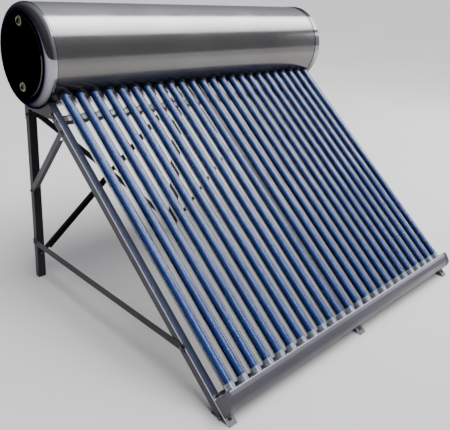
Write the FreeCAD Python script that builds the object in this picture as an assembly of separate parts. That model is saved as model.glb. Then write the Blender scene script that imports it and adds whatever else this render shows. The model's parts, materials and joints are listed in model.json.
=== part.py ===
import FreeCAD, Part
import math
import os

V = FreeCAD.Vector

# ---------------------------------------------------------------- driving dimensions (mm)
# evacuated tubes
TUBE_COUNT = 24
TUBE_PITCH = 75.0
TUBE_OD = 47.0
TUBE_WALL = 1.6
TUBE_LENGTH = 1550.0
ABSORBER_OD = 37.0
ABSORBER_GAP = 14.0          # absorber tip to outer tip
LIP_LENGTH = 6.0             # fused ring joining both glasses at the mouth
CLIP_THICKNESS = 1.2
TILT = 38.4                  # collector slope above the horizontal, degrees
MOUTH_FROM_AXIS = 158.0      # tank axis to tube mouth, along the tube
SLIDE_CLEARANCE = 0.9        # radial gap around a tube where it slides

# storage tank
AXIS_HEIGHT = 1137.0
SHELL_R = 228.0
SHELL_WALL = 1.2
SHELL_HALF = 918.5
INNER_R = 180.0
INNER_WALL = 1.5
INNER_HALF = 895.0
FOAM_HALF = 924.0
FIT_GAP = 0.3
CAP_WALL = 1.5
CAP_R = 229.6
CAP_START = 912.0
CAP_SHOULDER = 919.0
RIGHT_CAP_START = 895.0
RIGHT_CAP_SHOULDER = 935.0
CAP_FACE = 955.0
CAP_FLAT_R = 193.6
CAP_STEP_R = 177.0
CAP_STEP = 3.0
PORT_HEIGHTS = {"upper": 150.0, "lower": -131.0}
PORT_OD = 33.0
PORT_BORE = 24.0
PORT_TIP = 965.0
GROMMET_R = 21.0
GROMMET_LIP = 3.0

# rings round the tubes
RING_R = 30.0
RING_NECK_R = 27.4
RING_HEIGHT = 9.0
SHELL_HOLE_R = 28.0
SEAL_R = 30.0
SEAL_NECK_R = 26.6
SEAL_HALF = 7.0
INNER_HOLE_R = 27.0
FOAM_HOLE_R = 26.0

# stand
STEEL = 2.5
SIDE_X = 921.0               # outer face of the side frames
MIDDLE_X = -16.0             # web face of the middle frame
RAIL_TOP = -45.0             # rail top face below the tube axes
RAIL_HEIGHT = 41.0
RAIL_WIDTH = 32.0
RAIL_START = 230.0
LEG_FRONT = 38.0             # leg front face behind the tank axis
LEG_DEPTH = 30.0
LEG_WIDTH = 40.0
MIDDLE_LEG_WIDTH = 50.0
LEG_DROP = 231.0             # leg top below the tank axis
STRUT_Z = 202.0
STRUT_HEIGHT = 34.0
STRUT_REAR = 72.0
STRUT_FRONT = -1098.0
BRACE_WIDTH = 28.0
BRACE_FLANGE = 20.0
BRACE_END = 16.0             # bolt centre to strip end
SIDE_BRACE_LEG = (53.0, -653.0)
SIDE_BRACE_RAIL = (-247.0, -284.0)
BACK_FALLING = (887.0, 72.0)   # bolt heights at the side and middle legs
BACK_RISING = (140.0, 893.0)
BACK_SIDE_X = 901.0
BACK_MIDDLE_X = (-4.0, 22.0)
BAY_SPLIT_X = 9.0
JOGGLE = 48.0
CROSS_BAR_S = 318.0
CROSS_BAR_WIDTH = 36.0
CROSS_BAR_DEPTH = 22.0
CRADLE_GAP = 0.4
SADDLE_WIDTH = 44.0
CRADLE_FOOT = 240.0
CRADLE_FRONT = 190.0
CRADLE_TOP = 150.0           # plate top below the tank axis
CRADLE_BELLY_Y = -150.0
CRADLE_BELLY = 6.0
CRADLE_TAB = 62.0            # tab down the leg, below the leg top
CROSS_BAR_SLOT_S = 296.0     # cross bar relief in the middle cradle starts here
STRUT_FLANGE_S = 1430.0
BRACE_FLANGE_TRIM = 44.0

# tail tray
TRAY_WALL = 1.5
TRAY_BACK_TOP = 1643.0
TRAY_LIP = 1660.0
TRAY_FRONT = 38.0
TRAY_BEND = 1683.0
TRAY_FACE = 35.0
TRAY_CURVE = 1704.0
TRAY_CURVE_N = 29.0
TRAY_TOE = 1728.0
TRAY_TOE_N = -8.0
TRAY_BOTTOM = 1732.0
TRAY_HEM = 7.0
END_CAP_WIDTH = 22.0
END_CAP_WALL = 1.4
CUP_WALL = 2.6
CUP_COLLAR = 14.0
CUP_STEM_R = 8.0
CUP_STEM_END = 1722.0

# feet
FOOT_WALL = 4.0
FOOT_WIDTH = 40.0
FOOT_BACK = -1260.0
FOOT_PLATE = 3.0
FOOT_TOP = 1735.0
LUG_TOP = 1706.0
EAR_WIDTH = 76.0
EAR_DEPTH = 40.0
ANCHOR_R = 5.5
ANCHOR_X = 58.0              # anchor hole from the frame face

# M8 fasteners
BOLT_R = 4.0
BOLT_HOLE_R = 4.4
HEX_FLATS = 13.0
HEAD_HEIGHT = 5.3
NUT_HEIGHT = 6.5
BOLT_SPARE = 3.0
CRADLE_BOLT_S = 272.0        # cradle to rail
LEG_BOLT_Y = 53.0            # on the middle of the leg flange
CRADLE_LEG_BOLT = 40.0       # cradle to leg, below the leg top
STRUT_BOLTS_Y = (53.0, -1080.0)
CROSS_BAR_BOLT_N = 14.5      # below the rail top face
LUG_BOLT_S = 1724.0          # foot lug to rail web
FOOT_BOLT_S = 1745.0         # slanted foot plate to rail
TRAY_BOLT_S = 1652.0         # tray back wall to rail
RAIL_BOLT_X = 17.0           # from the frame face

HALF_ROW = TUBE_PITCH * (TUBE_COUNT - 1) / 2.0
TIP = MOUTH_FROM_AXIS + TUBE_LENGTH
SLEEVE_R = TUBE_OD / 2.0 + SLIDE_CLEARANCE
COS = math.cos(math.radians(TILT))
SIN = math.sin(math.radians(TILT))
X_AXIS = V(1, 0, 0)
DOWN_SLOPE = V(0, 0, 1)

# footprint centre: tank back and foot tips front to back, port mouth and cap side to side
FOOT_TIP_S = (AXIS_HEIGHT - FOOT_WALL + (RAIL_TOP + FOOT_PLATE) * COS) / SIN
FOOT_TIP_Y = -FOOT_TIP_S * COS - (RAIL_TOP + FOOT_PLATE) * SIN
AXIS_Y = -(FOOT_TIP_Y + CAP_R) / 2.0
CENTRE_X = (PORT_TIP - CAP_FACE - CAP_STEP) / 2.0


# ---------------------------------------------------------------- frames
def tank_frame(shape):
    """tank axis at the origin -> final place"""
    out = shape.copy()
    out.translate(V(CENTRE_X, AXIS_Y, AXIS_HEIGHT))
    return out


def tilted(shape):
    """panel frame (x across, y out to the sun, z down the slope) -> tank frame"""
    out = shape.copy()
    out.rotate(V(0, 0, 0), X_AXIS, 90.0 + TILT)
    return out


def panel_to_tank(s, n):
    return (-s * COS - n * SIN, -s * SIN + n * COS)


def box(x0, x1, y0, y1, z0, z1):
    return Part.makeBox(x1 - x0, y1 - y0, z1 - z0, V(x0, y0, z0))


def fuse(shapes):
    return shapes[0].multiFuse(shapes[1:]).removeSplitter()


def mirrored(shape):
    return shape.mirror(V(0, 0, 0), X_AXIS)


def polygon(points):
    return Part.Face(Part.makePolygon([V(*p) for p in points + points[:1]]))


# ---------------------------------------------------------------- tank
def tube_positions():
    return [-HALF_ROW + TUBE_PITCH * i for i in range(TUBE_COUNT)]


def along_tubes(make):
    """one copy of a panel-frame shape at every tube, moved to the tank frame"""
    one = tilted(make)
    copies = []
    for x in tube_positions():
        copy = one.copy()
        copy.translate(V(x, 0, 0))
        copies.append(copy)
    return copies


def drum(radius, half):
    return Part.makeCylinder(radius, 2 * half, V(-half, 0, 0), X_AXIS)


def slope_rod(radius, s0, s1):
    return Part.makeCylinder(radius, s1 - s0, V(0, 0, s0), DOWN_SLOPE)


def outer_shell():
    sheet = drum(SHELL_R, SHELL_HALF).cut(drum(SHELL_R - SHELL_WALL, SHELL_HALF + 1))
    holes = along_tubes(slope_rod(SHELL_HOLE_R, SHELL_R * 0.8, SHELL_R * 1.1))
    return sheet.cut(Part.makeCompound(holes))


def port_rods(radius, x0, x1):
    rods = []
    for height in PORT_HEIGHTS.values():
        rods.append(Part.makeCylinder(radius, x1 - x0, V(x0, 0, height), X_AXIS))
    return rods


def inner_tank():
    vessel = drum(INNER_R, INNER_HALF).cut(drum(INNER_R - INNER_WALL, INNER_HALF - INNER_WALL))
    holes = along_tubes(slope_rod(INNER_HOLE_R, INNER_R * 0.8, INNER_R * 1.1))
    holes += port_rods(PORT_OD / 2 + FIT_GAP, -INNER_HALF - 1, -INNER_HALF + 2 * INNER_WALL)
    return vessel.cut(Part.makeCompound(holes))


def foam_insulation():
    block = drum(SHELL_R - SHELL_WALL - FIT_GAP, FOAM_HALF)
    block = block.cut(drum(INNER_R + FIT_GAP, INNER_HALF + FIT_GAP))
    pocket = slope_rod(SEAL_R + FIT_GAP, INNER_R * 0.9, INNER_R + SEAL_HALF + 1)
    bore = slope_rod(FOAM_HOLE_R, INNER_R * 0.9, SHELL_R * 1.1)
    seat = slope_rod(RING_NECK_R + FIT_GAP, SHELL_R - RING_HEIGHT, SHELL_R * 1.1)
    tools = along_tubes(fuse([pocket, bore, seat]))
    tools += port_rods(PORT_OD / 2 + FIT_GAP, -FOAM_HALF - 1, -INNER_HALF + 1)
    return block.cut(Part.makeCompound(tools))


def tube_seals():
    """silicone ring clamped in each hole of the inner tank"""
    body = slope_rod(SEAL_R, INNER_R - SEAL_HALF - 4, INNER_R + SEAL_HALF)
    neck = slope_rod(SEAL_NECK_R, INNER_R - SEAL_HALF - 4, INNER_R + SEAL_HALF)
    wall = drum(INNER_R + FIT_GAP / 2, 60).cut(drum(INNER_R - INNER_WALL - FIT_GAP / 2, 61))
    ring = tilted(body).cut(wall)
    ring = fuse([ring, tilted(neck)])
    ring = ring.cut(tilted(slope_rod(SLEEVE_R, INNER_R * 0.8, INNER_R * 1.2)))
    return spread(ring)


def spread(shape):
    copies = []
    for x in tube_positions():
        copy = shape.copy()
        copy.translate(V(x, 0, 0))
        copies.append(copy)
    return Part.makeCompound(copies)


def dust_rings():
    """black rubber ring seated on the shell round every tube"""
    top = SHELL_R + RING_HEIGHT
    collar = Part.makeCone(RING_R, RING_R - 4, RING_HEIGHT + 4, V(0, 0, SHELL_R - 4), DOWN_SLOPE)
    collar = tilted(collar).cut(drum(SHELL_R + FIT_GAP / 2, 60))
    neck = tilted(slope_rod(RING_NECK_R, SHELL_R - RING_HEIGHT + 1, top - 2))
    ring = fuse([collar, neck])
    ring = ring.cut(tilted(slope_rod(SLEEVE_R, SHELL_R * 0.8, SHELL_R * 1.2)))
    return spread(ring)


def dome(shift, start, shoulder):
    """outline of the pressed end, moved inwards by the sheet thickness"""
    r = CAP_R - shift
    face = CAP_FACE - shift
    knee = 0.7071
    mid_x = shoulder + (face - shoulder) * knee
    mid_r = CAP_FLAT_R - shift + (CAP_R - CAP_FLAT_R) * knee
    edges = [
        Part.makeLine(V(start - shift, 0, 0), V(start - shift, r, 0)),
        Part.makeLine(V(start - shift, r, 0), V(shoulder, r, 0)),
        Part.Arc(V(shoulder, r, 0), V(mid_x, mid_r, 0), V(face, CAP_FLAT_R - shift, 0)).toShape(),
        Part.makeLine(V(face, CAP_FLAT_R - shift, 0), V(face, CAP_STEP_R, 0)),
        Part.makeLine(V(face, CAP_STEP_R, 0), V(face + CAP_STEP, CAP_STEP_R - 5, 0)),
        Part.makeLine(V(face + CAP_STEP, CAP_STEP_R - 5, 0), V(face + CAP_STEP, 0, 0)),
        Part.makeLine(V(face + CAP_STEP, 0, 0), V(start - shift, 0, 0)),
    ]
    return Part.Face(Part.Wire(edges)).revolve(V(0, 0, 0), X_AXIS, 360)


def end_cap(start, shoulder):
    """pressed end with a sleeve over the cladding from start to shoulder"""
    cap = dome(0, start, shoulder).cut(dome(CAP_WALL, start, shoulder))
    return cap.cut(box(start - 5, start, -300, 300, -300, 300))


def ported_cap():
    cap = mirrored(end_cap(CAP_START, CAP_SHOULDER))
    holes = port_rods(PORT_OD / 2 + 3, -CAP_FACE - 20, -CAP_SHOULDER)
    return cap.cut(Part.makeCompound(holes))


def port(height):
    """threaded socket welded to the inner tank"""
    x0 = -PORT_TIP
    length = PORT_TIP - INNER_HALF + INNER_WALL
    socket = Part.makeCylinder(PORT_OD / 2, length, V(x0, 0, height), X_AXIS)
    bore = Part.makeCylinder(PORT_BORE / 2, length + 2, V(x0 - 1, 0, height), X_AXIS)
    mouth = Part.makeCone(PORT_BORE / 2 + 2, PORT_BORE / 2, 2, V(x0, 0, height), X_AXIS)
    return socket.cut(fuse([bore, mouth]))


def port_grommets():
    """silicone bushing between each socket and the end cap"""
    face = -(CAP_FACE + CAP_STEP)
    rings = []
    for height in PORT_HEIGHTS.values():
        lip = Part.makeCone(GROMMET_R - 2, GROMMET_R, GROMMET_LIP, V(face - GROMMET_LIP, 0, height), X_AXIS)
        neck = Part.makeCylinder(PORT_OD / 2 + 2.8, 6, V(face - 1, 0, height), X_AXIS)
        bore = Part.makeCylinder(PORT_OD / 2 + 0.1, 40, V(face - 20, 0, height), X_AXIS)
        rings.append(fuse([lip, neck]).cut(bore))
    return Part.makeCompound(rings)


# ---------------------------------------------------------------- tubes
def bullet(radius, s0, s1):
    """round-ended rod from s0 to the tip at s1"""
    rod = Part.makeCylinder(radius, s1 - radius - s0, V(0, 0, s0), DOWN_SLOPE)
    return fuse([rod, Part.makeSphere(radius, V(0, 0, s1 - radius))])


def glass_profile(radius, wall, s0, s1):
    return bullet(radius, s0, s1).cut(bullet(radius - wall, s0 - 1, s1 - wall))


def evacuated_tube():
    """outer glass, absorber tube and tail clip as separate solids"""
    outer_r = TUBE_OD / 2
    inner_r = ABSORBER_OD / 2
    outer = glass_profile(outer_r, TUBE_WALL, MOUTH_FROM_AXIS, TIP)
    absorber_tip = TIP - TUBE_WALL - ABSORBER_GAP
    absorber = glass_profile(inner_r, TUBE_WALL, MOUTH_FROM_AXIS, absorber_tip)
    lip = slope_rod(outer_r - TUBE_WALL - 0.05, MOUTH_FROM_AXIS, MOUTH_FROM_AXIS + LIP_LENGTH)
    lip = lip.cut(slope_rod(inner_r - TUBE_WALL, MOUTH_FROM_AXIS - 1, TIP))
    absorber = fuse([absorber, lip])
    clip = tail_clip(inner_r, outer_r - TUBE_WALL, absorber_tip)
    return Part.makeCompound([outer, absorber, clip])


def tail_clip(inner_r, outer_r, absorber_tip):
    """sprung collar that centres the absorber near the closed end"""
    s0 = absorber_tip - inner_r - 24
    collar = slope_rod(inner_r + 0.1 + CLIP_THICKNESS, s0, s0 + 16)
    collar = collar.cut(slope_rod(inner_r + 0.1, s0 - 1, s0 + 17))
    reach = outer_r - 0.2
    pads = [collar]
    for quarter in range(4):
        pad = box(inner_r + 0.5, reach, -4, 4, s0 + 5, s0 + 5 + CLIP_THICKNESS)
        pad.rotate(V(0, 0, 0), DOWN_SLOPE, 90 * quarter + 45)
        pads.append(pad)
    rim = slope_rod(reach, s0, s0 + 26)
    return fuse(pads).common(rim)


# ---------------------------------------------------------------- stand members (tank frame)
def channel_rail(face_x, side):
    """C rail: web on the given face, flanges pointing along side"""
    low = RAIL_TOP - RAIL_HEIGHT
    x_tip = face_x + side * RAIL_WIDTH
    x_web = face_x + side * STEEL
    end = FOOT_TIP_S + 40
    web = box(min(face_x, x_web), max(face_x, x_web), low, RAIL_TOP, RAIL_START, end)
    lo, hi = min(face_x, x_tip), max(face_x, x_tip)
    top = box(lo, hi, RAIL_TOP - STEEL, RAIL_TOP, RAIL_START, end)
    bottom = box(lo, hi, low, low + STEEL, RAIL_START, end)
    rail = tilted(fuse([web, top, bottom]))
    floor = -AXIS_HEIGHT + FOOT_WALL
    return rail.cut(box(-1200, 1200, -2500, 600, floor - 400, floor))


def rear_leg(face_x, side, width):
    x_tip = face_x + side * width
    x_web = face_x + side * STEEL
    z0, z1 = -AXIS_HEIGHT, -LEG_DROP
    front = box(min(face_x, x_tip), max(face_x, x_tip), LEG_FRONT, LEG_FRONT + STEEL, z0, z1)
    flange = box(min(face_x, x_web), max(face_x, x_web), LEG_FRONT, LEG_FRONT + LEG_DEPTH, z0, z1)
    return fuse([front, flange])


def side_strut():
    """level angle bar on the outside of a side frame"""
    z0 = STRUT_Z - STRUT_HEIGHT / 2 - AXIS_HEIGHT
    face = box(-SIDE_X - STEEL, -SIDE_X, STRUT_FRONT, STRUT_REAR, z0, z0 + STRUT_HEIGHT)
    rail_back = panel_to_tank(STRUT_FLANGE_S, RAIL_TOP - RAIL_HEIGHT)[0] + 14
    flange = box(-SIDE_X - STEEL, -SIDE_X + BRACE_FLANGE, rail_back, LEG_FRONT - 4, z0, z0 + STEEL)
    return fuse([face, flange])


def side_brace():
    """short angle from the rear leg up to the rail"""
    (y0, z0), (y1, z1) = SIDE_BRACE_LEG, SIDE_BRACE_RAIL
    length = math.hypot(y1 - y0, z1 - z0)
    half = BRACE_WIDTH / 2
    face = box(-STEEL, 0, -half, half, -BRACE_END, length + BRACE_END)
    trim = BRACE_FLANGE_TRIM
    flange = box(-STEEL, BRACE_FLANGE, -half, -half + STEEL, trim, length - trim)
    bar = fuse([face, flange])
    slope = math.degrees(math.atan2(-(y1 - y0), z1 - z0))
    bar.rotate(V(0, 0, 0), X_AXIS, slope)
    bar.translate(V(-SIDE_X, y0, z0))
    return bar


def crossing(x0, x1):
    """where the two braces of a bay cross: (x, height, share of the way along)"""
    drop = BACK_FALLING[0] - BACK_FALLING[1]
    climb = BACK_RISING[1] - BACK_RISING[0]
    share = (BACK_FALLING[0] - BACK_RISING[0]) / (drop + climb)
    return x0 + share * (x1 - x0), BACK_RISING[0] + share * climb, share


def back_brace(x0, z0, x1, z1, front):
    """diagonal angle behind the tubes; the front one of a pair has joggled ends"""
    length = math.hypot(x1 - x0, z1 - z0)
    half = BRACE_WIDTH / 2
    y_lap = LEG_FRONT - STEEL
    if front:
        face = box(JOGGLE - 12, length - JOGGLE + 12, y_lap - STEEL, y_lap, -half, half)
        ends = [box(-40, JOGGLE, y_lap, LEG_FRONT, -half, half)]
        ends.append(box(length - JOGGLE, length + 40, y_lap, LEG_FRONT, -half, half))
        y_face = y_lap
    else:
        face = box(-40, length + 40, y_lap, LEG_FRONT, -half, half)
        ends = []
        y_face = LEG_FRONT
    flange = box(JOGGLE, length - JOGGLE, y_face - BRACE_FLANGE, y_face, -half, -half + STEEL)
    if not front:
        notch = BRACE_WIDTH
        middle = length * crossing(x0, x1)[2]
        gap = box(middle - notch, middle + notch, y_lap - 30, y_lap, -half - 1, -half + 5)
        flange = flange.cut(gap)
    bar = fuse([face, flange] + ends)
    bar.rotate(V(0, 0, 0), V(0, 1, 0), -math.degrees(math.atan2(z1 - z0, x1 - x0)))
    bar.translate(V(x0, 0, z0 - AXIS_HEIGHT))
    return bar


def bay_braces(outer_x, middle_x, x_lo, x_hi):
    keep = box(x_lo, x_hi, 0, 100, -AXIS_HEIGHT + 60, -LEG_DROP - 1)
    falling = back_brace(outer_x, BACK_FALLING[0], middle_x, BACK_FALLING[1], True)
    rising = back_brace(outer_x, BACK_RISING[0], middle_x, BACK_RISING[1], False)
    return falling.common(keep), rising.common(keep)


def cross_bar(x0, x1):
    """channel behind the tubes, tabbed to the rail webs"""
    top = RAIL_TOP - STEEL - 0.6
    s0 = CROSS_BAR_S - CROSS_BAR_WIDTH / 2
    s1 = CROSS_BAR_S + CROSS_BAR_WIDTH / 2
    skin = box(x0, x1, top - STEEL, top, s0, s1)
    parts = [skin]
    parts.append(box(x0, x1, top - CROSS_BAR_DEPTH, top, s0, s0 + STEEL))
    parts.append(box(x0, x1, top - CROSS_BAR_DEPTH, top, s1 - STEEL, s1))
    parts.append(box(x0, x0 + STEEL, top - CROSS_BAR_DEPTH, top, s0, s1))
    parts.append(box(x1 - STEEL, x1, top - CROSS_BAR_DEPTH, top, s0, s1))
    return tilted(fuse(parts))


def cradle(face_x, side):
    """web plate outside the frame plus a curved saddle under the tank"""
    x_out = face_x - side * STEEL
    lo, hi = min(face_x, x_out), max(face_x, x_out)
    y_leg = LEG_FRONT + LEG_DEPTH
    tab_end = -LEG_DROP - CRADLE_TAB
    outline = [
        (lo, y_leg, -CRADLE_TOP), (lo, -CRADLE_FRONT, -CRADLE_TOP), (lo, -CRADLE_FRONT, -CRADLE_FOOT),
        (lo, CRADLE_BELLY_Y, -CRADLE_FOOT - CRADLE_BELLY), (lo, LEG_FRONT - 6, -CRADLE_FOOT),
        (lo, LEG_FRONT - 2, tab_end), (lo, y_leg, tab_end),
    ]
    plate = polygon(outline).extrude(V(hi - lo, 0, 0))
    clear = CAP_R + CRADLE_GAP
    plate = plate.cut(drum(clear, 1000))
    x_in = face_x + side * SADDLE_WIDTH
    a, b = min(x_out, x_in), max(x_out, x_in)
    ring = Part.makeCylinder(clear + STEEL, b - a, V(a, 0, 0), X_AXIS)
    ring = ring.cut(Part.makeCylinder(clear, b - a + 2, V(a - 1, 0, 0), X_AXIS))
    bed = box(a, b, -CRADLE_FRONT, y_leg + 6, -300, -CRADLE_TOP)
    saddle = ring.common(bed)
    above_rail = tilted(box(-1000, 1000, RAIL_TOP, 200, 0, 600))
    return fuse([plate, saddle]).cut(above_rail)


def middle_cradle():
    """cradle of the middle frame, relieved for the cross bar and the back brace"""
    low = RAIL_TOP - STEEL - CROSS_BAR_DEPTH - 2
    bar = tilted(box(MIDDLE_X - 10, MIDDLE_X + 1, low, RAIL_TOP, CROSS_BAR_SLOT_S, 400))
    top = BACK_RISING[1] - AXIS_HEIGHT + BRACE_WIDTH
    brace = box(MIDDLE_X - 10, MIDDLE_X + 1, LEG_FRONT - 14, LEG_FRONT, -LEG_DROP - CRADLE_TAB - 1, top)
    return cradle(MIDDLE_X, 1).cut(fuse([bar, brace]))


# ---------------------------------------------------------------- tail tray (panel frame)
def tray_section(extra=0.0):
    """closed outline of the tray in the (n, s) plane, grown by extra"""
    back = RAIL_TOP
    points = [
        (back, TRAY_LIP), (TRAY_FRONT - 4, TRAY_LIP), (TRAY_FRONT, TRAY_LIP + 4),
        (TRAY_FRONT, TRAY_BEND - 4), (TRAY_FACE, TRAY_BEND), (TRAY_CURVE_N, TRAY_CURVE),
    ]
    edges = []
    for a, b in zip(points[:-1], points[1:]):
        edges.append(Part.makeLine(V(0, a[0], a[1]), V(0, b[0], b[1])))
    arc_mid = V(0, (TRAY_CURVE_N + TRAY_TOE_N) / 2 + 8, (TRAY_CURVE + TRAY_TOE) / 2 + 3.4)
    arc = Part.Arc(V(0, TRAY_CURVE_N, TRAY_CURVE), arc_mid, V(0, TRAY_TOE_N, TRAY_TOE))
    edges.append(arc.toShape())
    edges.append(Part.makeLine(V(0, TRAY_TOE_N, TRAY_TOE), V(0, back, TRAY_BOTTOM)))
    edges.append(Part.makeLine(V(0, back, TRAY_BOTTOM), V(0, back, TRAY_LIP)))
    wire = Part.Wire(edges)
    if extra:
        wire = wire.makeOffset2D(extra)
    return Part.Face(wire)


def tail_tray():
    half = SIDE_X
    outer = tray_section().extrude(V(2 * half, 0, 0))
    hollow = tray_section(-TRAY_WALL).extrude(V(2 * half + 2, 0, 0))
    hollow.translate(V(-1, 0, 0))
    mouth = box(-1, 2 * half + 1, RAIL_TOP + TRAY_WALL, TRAY_FRONT - TRAY_HEM, TRAY_LIP - 5, TRAY_LIP + 5)
    tray = outer.cut(fuse([hollow, mouth]))
    back = box(0, 2 * half, RAIL_TOP, RAIL_TOP + TRAY_WALL, TRAY_BACK_TOP, TRAY_LIP + 5)
    tray = fuse([tray, back])
    tray.translate(V(-half, 0, 0))
    return tilted(tray)


def tray_end_caps():
    """pressed covers over both tray ends"""
    plate = tray_section(END_CAP_WALL).extrude(V(END_CAP_WALL, 0, 0))
    sleeve = tray_section(END_CAP_WALL).extrude(V(END_CAP_WIDTH, 0, 0))
    core = tray_section(0.15).extrude(V(END_CAP_WIDTH, 0, 0))
    core.translate(V(END_CAP_WALL, 0, 0))
    cap = fuse([plate, sleeve]).cut(core)
    seat = box(-1, END_CAP_WIDTH + 1, RAIL_TOP - 10, RAIL_TOP, TRAY_LIP - 60, TRAY_BOTTOM + 60)
    rise = box(-1, END_CAP_WIDTH + 1, RAIL_TOP - 10, RAIL_TOP + 14, TRAY_LIP - 60, TRAY_LIP + 1)
    cap = cap.cut(fuse([seat, rise]))
    opening = box(END_CAP_WALL, END_CAP_WIDTH + 1, RAIL_TOP, TRAY_FRONT - 6, TRAY_LIP - 9, TRAY_LIP)
    cap = cap.cut(opening)
    cap.translate(V(-SIDE_X - END_CAP_WALL, 0, 0))
    return Part.makeCompound([tilted(cap), mirrored(tilted(cap))])


def tail_cups():
    """cup that carries the closed end of every tube"""
    cup_r = SLEEVE_R + CUP_WALL
    centre = TIP - TUBE_OD / 2
    hollow = fuse([slope_rod(SLEEVE_R, centre - 60, centre), Part.makeSphere(SLEEVE_R, V(0, 0, centre))])
    wall = fuse([slope_rod(cup_r, centre - CUP_COLLAR, centre), Part.makeSphere(cup_r, V(0, 0, centre))])
    above = slope_rod(cup_r + 5, centre - 60, centre - CUP_COLLAR)
    stem = slope_rod(CUP_STEM_R, TIP, CUP_STEM_END)
    cup = fuse([wall, stem]).cut(fuse([hollow, above]))
    return spread(tilted(cup))


# ---------------------------------------------------------------- feet
def front_foot(face_x, side):
    """base plate on the ground, slanted plate on the rail and a lug inside the rail web"""
    x_tip = face_x + side * FOOT_WIDTH
    lo, hi = min(face_x, x_tip), max(face_x, x_tip)
    floor = -AXIS_HEIGHT
    base = box(lo, hi, FOOT_TIP_Y, FOOT_BACK, floor, floor + FOOT_WALL)
    x_ear = face_x + side * EAR_WIDTH
    ear_lo, ear_hi = min(face_x, x_ear), max(face_x, x_ear)
    ear = box(ear_lo, ear_hi, FOOT_BACK - EAR_DEPTH, FOOT_BACK, floor, floor + FOOT_WALL)
    slant = tilted(box(lo, hi, RAIL_TOP, RAIL_TOP + FOOT_PLATE, FOOT_TOP, FOOT_TIP_S + 30))
    x_lug = face_x + side * STEEL
    x_lug2 = x_lug + side * FOOT_PLATE
    lug_lo, lug_hi = min(x_lug, x_lug2), max(x_lug, x_lug2)
    bottom = RAIL_TOP - RAIL_HEIGHT + STEEL + 0.5
    lug = tilted(box(lug_lo, lug_hi, bottom, RAIL_TOP - STEEL - 0.5, LUG_TOP, FOOT_TIP_S + 30))
    below = box(-1200, 1200, -2500, 600, floor - 200, floor)
    foot = fuse([base, ear, slant, lug]).cut(below)
    foot = foot.cut(box(-1200, 1200, FOOT_TIP_Y - 200, FOOT_TIP_Y, floor - 10, floor + 60))
    anchor = V(face_x + side * ANCHOR_X, FOOT_BACK - EAR_DEPTH / 2, floor - 10)
    hole = Part.makeCylinder(ANCHOR_R, 40, anchor)
    return foot.cut(hole)


# ---------------------------------------------------------------- fasteners
def bolt_list():
    """(head seat point, direction, grip) for every M8 joint, in the tank frame"""
    bolts = []
    rail_mid = RAIL_TOP - RAIL_HEIGHT / 2
    cradle_rail = panel_to_tank(CRADLE_BOLT_S, rail_mid - 1)
    cradle_leg = (LEG_BOLT_Y, -LEG_DROP - CRADLE_LEG_BOLT)
    cross = panel_to_tank(CROSS_BAR_S, RAIL_TOP - CROSS_BAR_BOLT_N)
    lug = panel_to_tank(LUG_BOLT_S, rail_mid)
    for side in (1, -1):
        sx = -side * (SIDE_X + STEEL)
        x = V(side, 0, 0)
        strut_z = STRUT_Z - AXIS_HEIGHT
        side_points = [(y, strut_z) for y in STRUT_BOLTS_Y]
        side_points += [SIDE_BRACE_LEG, SIDE_BRACE_RAIL, cradle_rail, cradle_leg]
        for y, z in side_points:
            bolts.append((V(sx, y, z), x, 2 * STEEL))
        bolts.append((V(-side * SIDE_X, *cross), x, 2 * STEEL))
        bolts.append((V(-side * SIDE_X, *lug), x, STEEL + FOOT_PLATE))
    x = V(1, 0, 0)
    bolts.append((V(MIDDLE_X - STEEL, *cradle_rail), x, 2 * STEEL))
    bolts.append((V(MIDDLE_X - STEEL, *cradle_leg), x, 2 * STEEL))
    bolts.append((V(MIDDLE_X - STEEL, *cross), x, 3 * STEEL))
    bolts.append((V(MIDDLE_X, *lug), x, STEEL + FOOT_PLATE))
    inward = V(0, SIN, -COS)
    for x_bolt in (-SIDE_X + RAIL_BOLT_X, MIDDLE_X + RAIL_BOLT_X, SIDE_X - RAIL_BOLT_X):
        y, z = panel_to_tank(TRAY_BOLT_S, RAIL_TOP + TRAY_WALL)
        bolts.append((V(x_bolt, y, z), inward, TRAY_WALL + STEEL))
        y, z = panel_to_tank(FOOT_BOLT_S, RAIL_TOP + FOOT_PLATE)
        bolts.append((V(x_bolt, y, z), inward, FOOT_PLATE + STEEL))
    back = V(0, 1, 0)
    for outer_x, middle_x in ((-BACK_SIDE_X, BACK_MIDDLE_X[0]), (BACK_SIDE_X, BACK_MIDDLE_X[1])):
        for x_bolt, end in ((outer_x, 0), (middle_x, 1)):
            for z_bolt in (BACK_FALLING[end], BACK_RISING[end]):
                head = V(x_bolt, LEG_FRONT - STEEL, z_bolt - AXIS_HEIGHT)
                bolts.append((head, back, 2 * STEEL))
        x_mid, z_mid, _ = crossing(outer_x, middle_x)
        mid = V(x_mid, LEG_FRONT - 2 * STEEL, z_mid - AXIS_HEIGHT)
        bolts.append((mid, back, 2 * STEEL))
    return bolts


def aim(shape, point, direction):
    out = shape.copy()
    turn = FreeCAD.Rotation(V(0, 0, 1), direction)
    out.Placement = FreeCAD.Placement(point, turn)
    return out


def hexagon(height):
    radius = HEX_FLATS / math.sqrt(3)
    corners = []
    for i in range(6):
        angle = math.radians(60 * i)
        corners.append((radius * math.cos(angle), radius * math.sin(angle), 0))
    prism = polygon(corners).extrude(V(0, 0, height))
    bevel = Part.makeCone(radius + height * 0.9, radius - 0.7, height)
    return prism.common(bevel)


def frame_bolts():
    solids = []
    for point, direction, grip in bolt_list():
        head = hexagon(HEAD_HEIGHT)
        head.rotate(V(0, 0, 0), X_AXIS, 180)
        shank = Part.makeCylinder(BOLT_R, grip + NUT_HEIGHT + BOLT_SPARE)
        solids.append(aim(fuse([head, shank]), point, direction))
    return Part.makeCompound(solids)


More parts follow.
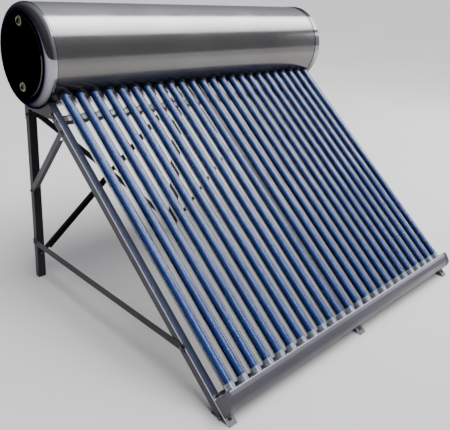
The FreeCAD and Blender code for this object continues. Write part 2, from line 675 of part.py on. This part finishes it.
def frame_nuts():
    solids = []
    nut = hexagon(NUT_HEIGHT).cut(Part.makeCylinder(BOLT_R + 0.1, 40, V(0, 0, -20)))
    for point, direction, grip in bolt_list():
        solids.append(aim(nut, point + direction * grip, direction))
    return Part.makeCompound(solids)


def drilled(shape):
    """clearance holes for the bolts that pass through a member"""
    tools = []
    reach = shape.BoundBox
    for point, direction, grip in bolt_list():
        tool = Part.makeCylinder(BOLT_HOLE_R, grip + 2, point - direction, direction)
        if reach.intersect(tool.BoundBox):
            tools.append(tool)
    if not tools:
        return shape
    return shape.cut(Part.makeCompound(tools))


# ---------------------------------------------------------------- assembly
def tank_nodes():
    return {
        "outer_shell": outer_shell(),
        "foam_insulation": foam_insulation(),
        "inner_tank": inner_tank(),
        "tube_seals": tube_seals(),
        "dust_rings": dust_rings(),
        "end_cap_left": ported_cap(),
        "end_cap_right": end_cap(RIGHT_CAP_START, RIGHT_CAP_SHOULDER),
        "port_upper": port(PORT_HEIGHTS["upper"]),
        "port_lower": port(PORT_HEIGHTS["lower"]),
        "port_grommets": port_grommets(),
    }


def stand_nodes():
    left_a, left_b = bay_braces(-BACK_SIDE_X, BACK_MIDDLE_X[0], -SIDE_X, BAY_SPLIT_X - 1)
    right_a, right_b = bay_braces(BACK_SIDE_X, BACK_MIDDLE_X[1], BAY_SPLIT_X + 1, SIDE_X)
    bars = [cross_bar(-SIDE_X + STEEL, MIDDLE_X), cross_bar(MIDDLE_X + STEEL, SIDE_X - STEEL)]
    members = {
        "rail_left": channel_rail(-SIDE_X, 1),
        "rail_middle": channel_rail(MIDDLE_X, 1),
        "rail_right": channel_rail(SIDE_X, -1),
        "leg_left": rear_leg(-SIDE_X, 1, LEG_WIDTH),
        "leg_middle": rear_leg(MIDDLE_X, 1, MIDDLE_LEG_WIDTH),
        "leg_right": rear_leg(SIDE_X, -1, LEG_WIDTH),
        "strut_left": side_strut(),
        "strut_right": mirrored(side_strut()),
        "side_brace_left": side_brace(),
        "side_brace_right": mirrored(side_brace()),
        "back_brace_left_a": left_a,
        "back_brace_left_b": left_b,
        "back_brace_right_a": right_a,
        "back_brace_right_b": right_b,
        "cross_bars": Part.makeCompound(bars),
        "cradle_left": cradle(-SIDE_X, 1),
        "cradle_middle": middle_cradle(),
        "cradle_right": cradle(SIDE_X, -1),
        "tail_tray": tail_tray(),
        "foot_left": front_foot(-SIDE_X, 1),
        "foot_middle": front_foot(MIDDLE_X, 1),
        "foot_right": front_foot(SIDE_X, -1),
    }
    nodes = {name: drilled(shape) for name, shape in members.items()}
    nodes["tray_end_caps"] = tray_end_caps()
    nodes["tail_cups"] = tail_cups()
    nodes["frame_bolts"] = frame_bolts()
    nodes["frame_nuts"] = frame_nuts()
    return nodes


def tube_nodes():
    one = tilted(evacuated_tube())
    nodes = {}
    for number, x in enumerate(tube_positions(), 1):
        copy = one.copy()
        copy.translate(V(x, 0, 0))
        nodes["tube_%02d" % number] = copy
    return nodes


def main():
    os.makedirs("parts", exist_ok=True)
    nodes = {}
    nodes.update(tank_nodes())
    nodes.update(stand_nodes())
    nodes.update(tube_nodes())
    for name, shape in nodes.items():
        tank_frame(shape).exportStep("parts/%s.step" % name)


main()
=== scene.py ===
import json
import math

import bmesh
import bpy
from mathutils import Matrix, Vector


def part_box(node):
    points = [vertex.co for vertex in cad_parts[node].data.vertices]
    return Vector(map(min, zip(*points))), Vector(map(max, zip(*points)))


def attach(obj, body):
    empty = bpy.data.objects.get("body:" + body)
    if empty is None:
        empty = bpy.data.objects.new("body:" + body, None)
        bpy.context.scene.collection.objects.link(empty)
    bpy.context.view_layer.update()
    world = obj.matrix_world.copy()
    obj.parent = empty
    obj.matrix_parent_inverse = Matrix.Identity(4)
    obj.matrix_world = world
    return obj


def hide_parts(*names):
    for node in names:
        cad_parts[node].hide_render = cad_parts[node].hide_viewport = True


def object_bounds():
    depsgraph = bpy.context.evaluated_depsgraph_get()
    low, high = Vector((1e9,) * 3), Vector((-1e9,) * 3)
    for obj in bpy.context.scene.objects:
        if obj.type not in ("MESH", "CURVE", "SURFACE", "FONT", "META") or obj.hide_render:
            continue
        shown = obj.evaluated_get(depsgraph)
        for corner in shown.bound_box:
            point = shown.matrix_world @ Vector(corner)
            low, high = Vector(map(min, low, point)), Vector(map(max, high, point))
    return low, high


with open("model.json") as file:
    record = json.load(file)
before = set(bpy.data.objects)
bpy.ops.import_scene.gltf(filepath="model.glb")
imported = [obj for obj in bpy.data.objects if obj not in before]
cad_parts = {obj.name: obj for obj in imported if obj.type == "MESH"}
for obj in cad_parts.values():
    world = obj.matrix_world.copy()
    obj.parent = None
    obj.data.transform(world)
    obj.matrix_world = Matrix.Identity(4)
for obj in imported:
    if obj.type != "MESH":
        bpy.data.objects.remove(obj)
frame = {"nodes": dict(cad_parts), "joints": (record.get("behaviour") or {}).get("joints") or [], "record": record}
NODES = frame["nodes"]
LOW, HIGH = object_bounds()
MM = 0.001
MM_PER_M = 1000.0

# ------------------------------------------------------------------ directions and places
SIDE = Vector((1, 0, 0))
TO_BACK = Vector((0, 1, 0))
UPRIGHT = Vector((0, 0, 1))
UP_SLOPE = Vector(frame["joints"][0]["axis"]).normalized()
DOWN_SLOPE = -UP_SLOPE
OUT = SIDE.cross(UP_SLOPE).normalized()


def middle(name):
    low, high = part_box(name)
    return (low + high) / 2


AXIS = middle("inner_tank")
SHELL_REACH = 230.0     # mm from the axis; bands on the tank and its caps run over this


def extent(name, direction):
    """lowest and highest place of a node along a direction, in mm from the tank axis"""
    places = [(vertex.co - AXIS).dot(direction) * MM_PER_M for vertex in NODES[name].data.vertices]
    return min(places), max(places)


# ------------------------------------------------------------------ shader nodes
EVEN = (1, 1, 1)
BRUSHED = (1.0, 180.0, 180.0)
FULL = (1.0, 1.0, 1.0)


def shader(name):
    mat = bpy.data.materials.new(name)
    mat.use_nodes = True
    tree = mat.node_tree
    return mat, tree, tree.nodes["Principled BSDF"]


def object_noise(tree, scale, stretch=EVEN, detail=4.0):
    """noise in the part's own coordinates, stretched along the axes"""
    coord = tree.nodes.new("ShaderNodeTexCoord")
    mapping = tree.nodes.new("ShaderNodeMapping")
    mapping.inputs["Scale"].default_value = stretch
    noise = tree.nodes.new("ShaderNodeTexNoise")
    noise.inputs["Scale"].default_value = scale
    noise.inputs["Detail"].default_value = detail
    tree.links.new(coord.outputs["Object"], mapping.inputs["Vector"])
    tree.links.new(mapping.outputs["Vector"], noise.inputs["Vector"])
    return noise.outputs["Fac"]


def map_range(tree, value, low, high, start=0.0, end=1.0):
    """turns low..high into start..end"""
    spread = tree.nodes.new("ShaderNodeMapRange")
    spread.inputs["From Min"].default_value = low
    spread.inputs["From Max"].default_value = high
    spread.inputs["To Min"].default_value = start
    spread.inputs["To Max"].default_value = end
    tree.links.new(value, spread.inputs["Value"])
    return spread.outputs["Result"]


def vector_math(tree, operation, source, value):
    node = tree.nodes.new("ShaderNodeVectorMath")
    node.operation = operation
    node.inputs[1].default_value = value
    tree.links.new(source, node.inputs[0])
    return node


def from_origin(tree, origin):
    """the part's own coordinates, counted from an origin"""
    coord = tree.nodes.new("ShaderNodeTexCoord")
    shift = vector_math(tree, "SUBTRACT", coord.outputs["Object"], origin)
    return shift.outputs["Vector"]


def distance_along(tree, direction, origin):
    """how far a point lies along a direction from an origin, in mm"""
    way = Vector(direction) * MM_PER_M
    return vector_math(tree, "DOT_PRODUCT", from_origin(tree, origin), way).outputs["Value"]


def distance_from_axis(tree):
    """how far a point lies from the tank axis, in mm"""
    flat = vector_math(tree, "MULTIPLY", from_origin(tree, AXIS), (0, MM_PER_M, MM_PER_M))
    size = tree.nodes.new("ShaderNodeVectorMath")
    size.operation = "LENGTH"
    tree.links.new(flat.outputs["Vector"], size.inputs[0])
    return size.outputs["Value"]


def multiply(tree, first, second):
    mix = tree.nodes.new("ShaderNodeMix")
    mix.data_type = "RGBA"
    mix.blend_type = "MULTIPLY"
    mix.inputs["Factor"].default_value = 1.0
    tree.links.new(first, mix.inputs["A"])
    tree.links.new(second, mix.inputs["B"])
    return mix.outputs["Result"]


def mottled(tree, noise, dark, light):
    """two colours that run into each other with a noise"""
    ramp = tree.nodes.new("ShaderNodeValToRGB")
    ramp.color_ramp.elements[0].position = 0.35
    ramp.color_ramp.elements[1].position = 0.65
    ramp.color_ramp.elements[0].color = (*dark, 1)
    ramp.color_ramp.elements[1].color = (*light, 1)
    tree.links.new(noise, ramp.inputs["Fac"])
    return ramp.outputs["Color"]


def bands(tree, value, low, high, stops):
    """colour ramp over low..high; stops are (value, colour)"""
    ramp = tree.nodes.new("ShaderNodeValToRGB")
    tree.links.new(map_range(tree, value, low, high), ramp.inputs["Fac"])
    elements = ramp.color_ramp.elements
    elements.remove(elements[1])
    elements[0].position = (stops[0][0] - low) / (high - low)
    elements[0].color = (*stops[0][1], 1)
    for at, colour in stops[1:]:
        elements.new((at - low) / (high - low)).color = (*colour, 1)
    return ramp.outputs["Color"]


def set_colour(tree, bsdf, colour):
    tree.links.new(colour, bsdf.inputs["Base Color"])


def vary_roughness(tree, bsdf, noise, smooth, rough):
    tree.links.new(map_range(tree, noise, 0.3, 0.7, smooth, rough), bsdf.inputs["Roughness"])


def add_bump(tree, bsdf, noise, strength, depth):
    bump = tree.nodes.new("ShaderNodeBump")
    bump.inputs["Strength"].default_value = strength
    bump.inputs["Distance"].default_value = depth
    tree.links.new(noise, bump.inputs["Height"])
    tree.links.new(bump.outputs["Normal"], bsdf.inputs["Normal"])


# ------------------------------------------------------------------ finishes, some with painted light and shade


def finish_material(name, dark, light, rough, metallic=0.0, grain=EVEN, grain_scale=400.0,
                    bump=0.15, depth=0.00005, cloud=3.0, gloss=0.5):
    """mottled colour and roughness (smoothest, roughest) over a fine grain"""
    mat, tree, bsdf = shader(name)
    bsdf.inputs["Metallic"].default_value = metallic
    bsdf.inputs["Specular IOR Level"].default_value = gloss
    set_colour(tree, bsdf, mottled(tree, object_noise(tree, cloud), dark, light))
    vary_roughness(tree, bsdf, object_noise(tree, cloud * 2.3), *rough)
    add_bump(tree, bsdf, object_noise(tree, grain_scale, grain), bump, depth)
    return mat


def satin(name, dark, light, rough=(0.28, 0.42), metallic=0.15, gloss=0.5):
    """powder coat or satin sheet with a fine orange peel"""
    return finish_material(name, dark, light, rough, metallic, grain_scale=650.0,
                           bump=0.2, depth=0.00008, gloss=gloss)


def banded(mat, direction, low, high, stops):
    """tints a finish with bands along one direction, in mm from the tank axis"""
    tree = mat.node_tree
    bsdf = tree.nodes["Principled BSDF"]
    base = bsdf.inputs["Base Color"].links[0].from_socket
    tint = bands(tree, distance_along(tree, direction, AXIS), low, high, stops)
    set_colour(tree, bsdf, multiply(tree, base, tint))
    return mat


def shell_material():
    """brushed cladding with a painted dark reflection, darker towards the back and the ground"""
    mat = finish_material("shell_steel_painted_reflection", (0.66, 0.655, 0.65), (0.74, 0.735, 0.73), (0.13, 0.20),
                          metallic=1.0, grain=BRUSHED, grain_scale=6.0, bump=0.10, depth=0.00002)
    # painted dark reflection: darker and bluer towards the back
    banded(mat, TO_BACK, -SHELL_REACH, SHELL_REACH, [(-100, FULL), (-20, (0.62, 0.64, 0.72))])
    # painted dark reflection: far darker towards the ground, full brightness near the top
    return banded(mat, UPRIGHT, -SHELL_REACH, SHELL_REACH,
                  [(-220, (0.065, 0.06, 0.057)), (-120, (0.165, 0.15, 0.14)),
                   (0, (0.27, 0.265, 0.26)), (115, (0.36, 0.355, 0.355)), (165, FULL)])


def rail_material():
    """satin side with a painted highlight along the upper edge and a painted blue-grey reflection on the top face;
    darker towards the lower edge
    """
    mat = satin("rail_satin_painted_light", (0.19, 0.185, 0.22), (0.26, 0.25, 0.295))
    top = extent("rail_left", OUT)[1]
    # edge is a painted highlight, brighter than any surface colour
    side, edge = (0.19, 0.185, 0.205), (4.2, 4.0, 4.6)
    # painted highlight along the upper edge, painted blue-grey reflection on the top face
    return banded(mat, OUT, top - 60, top + 10,
                  [(top - 44, (0.15, 0.15, 0.155)), (top - 6.5, side), (top - 5.0, edge),
                   (top - 0.6, edge), (top - 0.2, (0.24, 0.29, 0.42))])


def cross_bar_material():
    """bright channel: light steel with a painted reflection on its face and painted shade in the dark bends along
    both edges
    """
    mat = satin("cross_bar_painted_light", (0.52, 0.48, 0.51), (0.70, 0.65, 0.69), (0.22, 0.36), 0.5)
    first, last = extent("cross_bars", DOWN_SLOPE)
    # painted shade: near-black lines in the bends along both edges
    bend_shade = (0.02, 0.02, 0.025)
    return banded(mat, DOWN_SLOPE, first - 5, last + 5,
                  [(first + 5.5, bend_shade), (first + 7.5, FULL), (last - 7.5, FULL),
                   (last - 5.5, bend_shade)])


def tray_material():
    """folded tray: painted highlight along the hem at the lip, painted shade in the crease and towards the lower
    edge
    """
    mat = satin("tray_satin_painted_light", (0.34, 0.33, 0.38), (0.42, 0.41, 0.465), (0.28, 0.42), 0.25)
    lip = extent("tray_end_caps", DOWN_SLOPE)[0]
    # painted highlight on the hem (colour above one), painted shade in the crease and on the lower face
    return banded(mat, DOWN_SLOPE, lip - 30, lip + 90,
                  [(lip - 2, (0.5, 0.5, 0.5)), (lip - 0.5, (2.1, 2.15, 2.2)),
                   (lip + 3.5, (2.0, 1.95, 2.05)), (lip + 5, (0.50, 0.48, 0.51)),
                   (lip + 20.5, (0.36, 0.35, 0.38)), (lip + 22.5, (0.10, 0.10, 0.12)),
                   (lip + 25, (0.27, 0.265, 0.285)), (lip + 60, (0.23, 0.23, 0.24)),
                   (lip + 72, (0.13, 0.13, 0.135))])


def cap_material(name):
    """polished pressing: bright steel band, painted reflection and highlight on the shoulder, painted dark
    reflection on the face, painted highlight as a pale line at the step, painted shade towards the bottom
    """
    mat, tree, bsdf = shader(name + "_finish")
    bsdf.inputs["Metallic"].default_value = 1.0
    bsdf.inputs["Specular Tint"].default_value = (0.22, 0.22, 0.26, 1)
    low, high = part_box(name)
    left = low.x + high.x < 0
    seam = high.x if left else low.x
    black, line, steel = (0.006, 0.006, 0.010), (0.13, 0.135, 0.14), (0.52, 0.51, 0.54)
    lap = (0.05, 0.05, 0.07)
    # painted dark reflection on the face, painted highlight on the pale line at the step, painted reflection from
    # dark purple to lavender on the shoulder, plain steel on the band
    rings = bands(tree, distance_from_axis(tree), 160.0, 232.0,
                  [(171.5, black), (173.5, line), (175.5, line), (177.0, black), (191.0, black),
                   (197.0, (0.085, 0.070, 0.125)), (208.0, (0.38, 0.35, 0.45)), (218.0, steel)])
    edge = bands(tree, distance_along(tree, (-1 if left else 1, 0, 0), (seam, 0, 0)), -1.0, 10.0,
                 [(0.2, lap), (2.2, lap), (3.4, FULL)])
    # painted shade: darker towards the bottom of the cap
    painted_shade_low = bands(tree, distance_along(tree, UPRIGHT, AXIS), -SHELL_REACH, SHELL_REACH,
                 [(-228, (0.12, 0.12, 0.115)), (-150, (0.42, 0.40, 0.39)),
                  (-30, (0.85, 0.84, 0.85)), (60, FULL)])
    soft = mottled(tree, object_noise(tree, 5.0), (0.9, 0.9, 0.92), FULL)
    both = multiply(tree, multiply(tree, rings, edge), painted_shade_low)
    set_colour(tree, bsdf, multiply(tree, both, soft))
    vary_roughness(tree, bsdf, object_noise(tree, 5.0), 0.06, 0.13)
    add_bump(tree, bsdf, object_noise(tree, 7.0, detail=1.0), 0.10, 0.002)
    return mat


MATERIALS = {
    "tank_shell": shell_material(),
    "inner_steel": finish_material("inner_finish", (0.5, 0.5, 0.52), (0.6, 0.6, 0.6), (0.3, 0.45),
                                   metallic=1.0),
    "port_steel": finish_material("port_finish", (0.16, 0.16, 0.15), (0.26, 0.26, 0.24),
                                  (0.22, 0.35), metallic=1.0, grain=(180, 1, 1), grain_scale=5.0),
    "foam": finish_material("foam_finish", (0.66, 0.52, 0.24), (0.78, 0.66, 0.36), (0.8, 0.95),
                            grain_scale=900.0, bump=0.6, depth=0.0004),
    "silicone": finish_material("silicone_finish", (0.20, 0.21, 0.09), (0.31, 0.33, 0.17),
                                (0.3, 0.45)),
    "black_rubber": finish_material("rubber_finish", (0.003, 0.003, 0.004),
                                    (0.007, 0.007, 0.010), (0.45, 0.65),
                                    grain_scale=700.0, bump=0.3, gloss=0.25),
    "stand_steel": satin("stand_finish", (0.010, 0.010, 0.012), (0.020, 0.020, 0.024), gloss=0.3),
    "tray_steel": tray_material(),
    "foot_steel": satin("foot_finish", (0.20, 0.195, 0.215), (0.28, 0.275, 0.30), (0.34, 0.5),
                        metallic=0.35),
    "cup_plastic": finish_material("cup_finish", (0.012, 0.012, 0.014), (0.022, 0.022, 0.025),
                                   (0.4, 0.55)),
    "fastener": finish_material("fastener_finish", (0.06, 0.06, 0.065), (0.16, 0.16, 0.17),
                                (0.25, 0.42), metallic=1.0, grain_scale=1200.0, cloud=60.0),
}
RAIL = rail_material()
BACK_BRACE = satin("back_brace_finish", (0.008, 0.007, 0.011), (0.016, 0.014, 0.021), gloss=0.3)
SIDE_BRACE = satin("side_brace_finish", (0.050, 0.048, 0.056), (0.080, 0.077, 0.090), gloss=0.4)
OWN_FINISH = {
    "rail_left": RAIL, "rail_middle": RAIL, "rail_right": RAIL,
    "back_brace_left_a": BACK_BRACE, "back_brace_left_b": BACK_BRACE,
    "back_brace_right_a": BACK_BRACE, "back_brace_right_b": BACK_BRACE,
    "side_brace_left": SIDE_BRACE, "side_brace_right": SIDE_BRACE,
    "tray_end_caps": satin("tray_end_finish", (0.055, 0.054, 0.064), (0.080, 0.078, 0.092)),
    "cross_bars": cross_bar_material(),
    "end_cap_left": cap_material("end_cap_left"), "end_cap_right": cap_material("end_cap_right"),
}

# ------------------------------------------------------------------ CAD nodes
TUBES = sorted(j["child"] for j in frame["joints"])
SLOT_OF = {s["node"]: s["material_slot"] for s in frame["record"]["subparts"]}
SHEET_PARTS = ("rail_", "leg_", "strut_", "side_brace_", "back_brace_", "cross_bars", "tail_tray",
               "foot_")
EDGE_ROUND = 0.7 * MM
WELD_GAP = 0.00002


def paint(node, mat):
    for slot in node.material_slots:
        slot.material = mat


def ease_edges(node):
    """rounds the bent and cut edges of sheet parts, so that they catch the light"""
    weld = node.modifiers.new("weld", "WELD")
    weld.merge_threshold = WELD_GAP
    bevel = node.modifiers.new("bevel", "BEVEL")
    bevel.width = EDGE_ROUND
    bevel.segments = 2
    bevel.limit_method = "ANGLE"
    bevel.angle_limit = math.radians(40)


for name, node in NODES.items():
    if name in TUBES:
        continue
    paint(node, OWN_FINISH.get(name) or MATERIALS[SLOT_OF[name]])
    if name.startswith(SHEET_PARTS):
        ease_edges(node)

# ------------------------------------------------------------------ evacuated tubes
TUBE_AXES = Matrix((SIDE, OUT, UP_SLOPE)).transposed()
TURNS = 40              # points round a tube
END_STEPS = 10          # points from a round end's tip to its full radius
ON_AXIS = 1e-7          # below this radius a ring is a single point
WALL = 1.6 * MM
CORE_MM = 18.5
CORE = CORE_MM * MM     # radius of the absorber
CORE_TIP = WALL + 14 * MM
INNER_WALL = 0.1        # how far down the absorber's mouth its inside is modelled
COATING_GAP = 0.15 * MM
COATING_TOP = 76 * MM
CLIP_FINGERS = 8
CLIP_SHEET = 0.6 * MM
CLIP_HEIGHT = 16 * MM
CLIP_START = 8 * MM     # above the absorber's round end
CLIP_GAP_IN = 0.2 * MM
CLIP_GAP_OUT = 0.3 * MM


def glass_material():
    """clear borosilicate with a faint waviness"""
    mat, tree, bsdf = shader("outer_glass_finish")
    bsdf.inputs["Base Color"].default_value = (0.76, 0.78, 0.82, 1)
    bsdf.inputs["Transmission Weight"].default_value = 1.0
    bsdf.inputs["IOR"].default_value = 1.47
    vary_roughness(tree, bsdf, object_noise(tree, 9.0), 0.008, 0.03)
    add_bump(tree, bsdf, object_noise(tree, 6.0, detail=1.0), 0.02, 0.0006)
    return mat


def absorber_material():
    """selective coating with painted light and shade round the tube: pale blue towards the sun, navy underneath"""
    mat, tree, bsdf = shader("absorber_painted_light_shade")
    bsdf.inputs["Specular IOR Level"].default_value = 0.12
    navy, deep, blue, pale = ((0.002, 0.003, 0.018), (0.012, 0.026, 0.16), (0.048, 0.120, 0.47),
                              (0.085, 0.19, 0.66))
    # painted shade and light round the tube: navy underneath, pale blue on top
    around = bands(tree, distance_along(tree, OUT, (0, 0, 0)), -CORE_MM, CORE_MM,
                   [(-3.0, navy), (6.0, deep), (11.0, blue), (18.0, pale)])
    cloud = mottled(tree, object_noise(tree, 3.0, (1, 0.25, 0.25)), (0.70, 0.80, 0.88), FULL)
    set_colour(tree, bsdf, multiply(tree, around, cloud))
    vary_roughness(tree, bsdf, object_noise(tree, 12.0), 0.20, 0.30)
    add_bump(tree, bsdf, object_noise(tree, 20.0, (1, 0.3, 0.3), 1.0), 0.03, 0.0003)
    return mat


def getter_material():
    """silvery getter coating inside the tube's tip"""
    mat, tree, bsdf = shader("getter_finish")
    bsdf.inputs["Metallic"].default_value = 0.2
    set_colour(tree, bsdf, mottled(tree, object_noise(tree, 60.0), (0.70, 0.80, 0.92),
                                   (0.92, 0.96, 1.0)))
    vary_roughness(tree, bsdf, object_noise(tree, 90.0), 0.12, 0.30)
    add_bump(tree, bsdf, object_noise(tree, 130.0), 0.25, 0.0006)
    return mat


def tube_place(name):
    """tip point, length and outer radius, read from the node's box"""
    low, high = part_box(name)
    radius = (high.x - low.x) / 2
    ball = Vector(((low.x + high.x) / 2, low.y + radius, low.z + radius))
    mouth = Vector((ball.x, high.y - radius * UP_SLOPE.z, high.z - radius * UP_SLOPE.y))
    return ball - UP_SLOPE * radius, (mouth - ball).dot(UP_SLOPE) + radius, radius


def round_tube(radius, angle, height):
    """point at a radius and an angle round the tube's axis, at a height above its tip"""
    return TUBE_AXES @ Vector((radius * math.cos(angle), radius * math.sin(angle), height))


def bridge(bm, rings):
    """faces from each ring to the next; a ring of one vertex is a tip"""
    for a, b in zip(rings[:-1], rings[1:]):
        count = max(len(a), len(b))
        for i in range(count):
            k = (i + 1) % count
            if len(a) == 1:
                bm.faces.new((a[0], b[k], b[i]))
            elif len(b) == 1:
                bm.faces.new((a[i], a[k], b[0]))
            else:
                bm.faces.new((a[i], a[k], b[k], b[i]))


def smooth_mesh(bm, name, mat):
    mesh = bpy.data.meshes.new(name)
    bm.to_mesh(mesh)
    bm.free()
    for poly in mesh.polygons:
        poly.use_smooth = True
    mesh.materials.append(mat)
    return mesh


def spun(name, profile, mat):
    """surface of revolution; profile is (radius, height above the tip) from end to end"""
    bm = bmesh.new()
    rings = []
    for radius, height in profile:
        count = 1 if radius < ON_AXIS else TURNS
        rings.append([bm.verts.new(round_tube(radius, 2 * math.pi * i / TURNS, height))
                      for i in range(count)])
    bridge(bm, rings)
    bmesh.ops.recalc_face_normals(bm, faces=bm.faces)
    return smooth_mesh(bm, name, mat)


def round_end(radius, centre):
    """quarter circle from the axis out to the full radius"""
    points = []
    for i in range(END_STEPS + 1):
        a = math.pi / 2 * i / END_STEPS
        points.append((radius * math.sin(a), centre - radius * math.cos(a)))
    return points


def straight(radius, start, end, step=0.1):
    """straight side in steps, without its first point, which the round end has"""
    count = max(2, int(abs(end - start) / step))
    return [(radius, start + (end - start) * i / count) for i in range(1, count + 1)]


def glass_profile(radius, length):
    """up the outside from the tip, over the mouth and back down the inside"""
    outer = round_end(radius, radius) + straight(radius, radius, length)
    inner = round_end(radius - WALL, radius) + straight(radius - WALL, radius, length)
    return outer + inner[::-1]


def core_profile(length):
    """up the absorber from its tip and a little way down inside its mouth"""
    end = [(r, h + CORE_TIP) for r, h in round_end(CORE, CORE)]
    mouth = [(CORE - WALL, length), (CORE - WALL, length - INNER_WALL)]
    return end + straight(CORE, CORE_TIP + CORE, length) + mouth


def coating_profile(inside, radius):
    """lining of the glass around its tip"""
    return round_end(inside, radius) + straight(inside, radius, COATING_TOP, 0.01)


def clip_mesh(inner, reach, base, mat):
    """sprung collar with bent fingers between absorber and glass"""
    bm = bmesh.new()
    rows = 6
    points = CLIP_FINGERS * 6
    for skin in (0.0, CLIP_SHEET):
        rings = []
        for row in range(rows + 1):
            t = row / rows
            swell = (reach - inner - CLIP_SHEET) * math.sin(math.pi * t) ** 2
            ring = []
            for i in range(points):
                a = 2 * math.pi * i / points
                lobe = 0.5 + 0.5 * math.cos(CLIP_FINGERS * a)
                r = inner + skin + swell * lobe
                ring.append(bm.verts.new(round_tube(r, a, base + CLIP_HEIGHT * t)))
            rings.append(ring)
        bridge(bm, rings)
    return smooth_mesh(bm, "clip", mat)


_, LENGTH, RADIUS = tube_place(TUBES[0])
INSIDE = RADIUS - WALL - COATING_GAP
TUBE_MESHES = {
    "glass": spun("glass", glass_profile(RADIUS, LENGTH), glass_material()),
    "absorber": spun("core", core_profile(LENGTH), absorber_material()),
    "getter": spun("mirror", coating_profile(INSIDE, RADIUS), getter_material()),
    "clip": clip_mesh(CORE + CLIP_GAP_IN, INSIDE - CLIP_GAP_OUT, CORE_TIP + CORE + CLIP_START,
                      finish_material("clip_finish", (0.55, 0.55, 0.57), (0.72, 0.72, 0.74),
                                      (0.15, 0.3), metallic=1.0, cloud=80.0)),
}
for name in TUBES:
    for label, mesh in TUBE_MESHES.items():
        piece = bpy.data.objects.new("%s_%s" % (name, label), mesh)
        piece.location = tube_place(name)[0]
        bpy.context.scene.collection.objects.link(piece)
        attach(piece, name)
        if label == "glass":
            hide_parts(name)

# ------------------------------------------------------------------ stage, light and camera
FLOOR_REACH = 120.0
FLOOR_GAP = 0.0005
CAMERA_PLACE = (-2.1455, -1.8119, 1.5511)
CAMERA_RIGHT = Vector((0.6993, -0.7107, 0.0762)).normalized()
CAMERA_UP = Vector((0.2366, 0.3308, 0.9136)).normalized()
SENSOR_WIDTH = 36.0
FOCAL_LENGTH = 44.87


def floor_material():
    mat, tree, bsdf = shader("floor_finish")
    cloud = object_noise(tree, 0.7)
    set_colour(tree, bsdf, mottled(tree, cloud, (0.80, 0.80, 0.80), (0.83, 0.83, 0.83)))
    bsdf.inputs["Roughness"].default_value = 0.85
    return mat


def floor_mesh():
    """one large square"""
    mesh = bpy.data.meshes.new("floor")
    reach = FLOOR_REACH
    corners = [(-reach, -reach, 0), (reach, -reach, 0), (reach, reach, 0), (-reach, reach, 0)]
    mesh.from_pydata(corners, [], [(0, 1, 2, 3)])
    mesh.materials.append(floor_material())
    return mesh


def aim(lamp, place, direction):
    """a lamp at a place, shining along a direction"""
    holder = bpy.data.objects.new(lamp.name, lamp)
    holder.location = place
    holder.rotation_euler = direction.to_track_quat("-Z", "Y").to_euler()
    bpy.context.scene.collection.objects.link(holder)
    return holder


def softbox(name, place, target, width, height, power, tint=FULL):
    lamp = bpy.data.lights.new(name, "AREA")
    lamp.shape = "RECTANGLE"
    lamp.size = width
    lamp.size_y = height
    lamp.energy = power
    lamp.color = tint
    aim(lamp, place, Vector(target) - Vector(place))


def overhead_sun():
    """broad soft light from above, which gloss doesn't mirror"""
    sun = bpy.data.lights.new("overhead", "SUN")
    sun.energy = 3.3
    sun.angle = math.radians(50)
    aim(sun, (0, 0, 0), Vector((-0.10, 0.30, -0.95))).visible_glossy = False


def studio_world():
    """surroundings darker on the left, pale on the right and overhead; a plain backdrop is seen"""
    world = bpy.data.worlds.new("studio")
    bpy.context.scene.world = world
    world.use_nodes = True
    tree = world.node_tree
    coord = tree.nodes.new("ShaderNodeTexCoord")
    split = tree.nodes.new("ShaderNodeSeparateXYZ")
    tree.links.new(coord.outputs["Generated"], split.inputs["Vector"])
    total = tree.nodes.new("ShaderNodeMath")
    total.operation = "MULTIPLY"
    across = map_range(tree, split.outputs["X"], -0.35, 0.55, 0.06, 0.36)
    above = map_range(tree, split.outputs["Z"], 0.35, 0.95, 1.0, 1.9)
    tree.links.new(across, total.inputs[0])
    tree.links.new(above, total.inputs[1])
    around = tree.nodes["Background"]
    around.inputs["Color"].default_value = (0.93, 0.94, 1.0, 1)
    tree.links.new(total.outputs["Value"], around.inputs["Strength"])
    plain = tree.nodes.new("ShaderNodeBackground")
    plain.inputs["Color"].default_value = (0.80, 0.80, 0.82, 1)
    seen = tree.nodes.new("ShaderNodeLightPath")
    choice = tree.nodes.new("ShaderNodeMixShader")
    tree.links.new(seen.outputs["Is Camera Ray"], choice.inputs["Fac"])
    tree.links.new(around.outputs["Background"], choice.inputs[1])
    tree.links.new(plain.outputs["Background"], choice.inputs[2])
    tree.links.new(choice.outputs["Shader"], tree.nodes["World Output"].inputs["Surface"])


floor = bpy.data.objects.new("floor", floor_mesh())
floor.location.z = LOW.z - FLOOR_GAP
bpy.context.scene.collection.objects.link(floor)

softbox("top_light", place=(3.6, -0.48, 4.6), target=(3.6, 0.57, 1.14), width=5.8, height=3.2,
        power=190)
softbox("right_light", place=(6.0, -1.0, 1.9), target=(0, 0, 0.6), width=3.0, height=3.0,
        power=60, tint=(0.93, 0.95, 1.0))
overhead_sun()
studio_world()

lens = bpy.data.cameras.new("camera")
lens.sensor_width = SENSOR_WIDTH
lens.lens = FOCAL_LENGTH
camera = bpy.data.objects.new("camera", lens)
back = CAMERA_RIGHT.cross(CAMERA_UP)
camera.matrix_world = Matrix.Translation(CAMERA_PLACE) @ Matrix(
    (CAMERA_RIGHT, back.cross(CAMERA_RIGHT), back)).transposed().to_4x4()
bpy.context.scene.collection.objects.link(camera)
bpy.context.scene.camera = camera
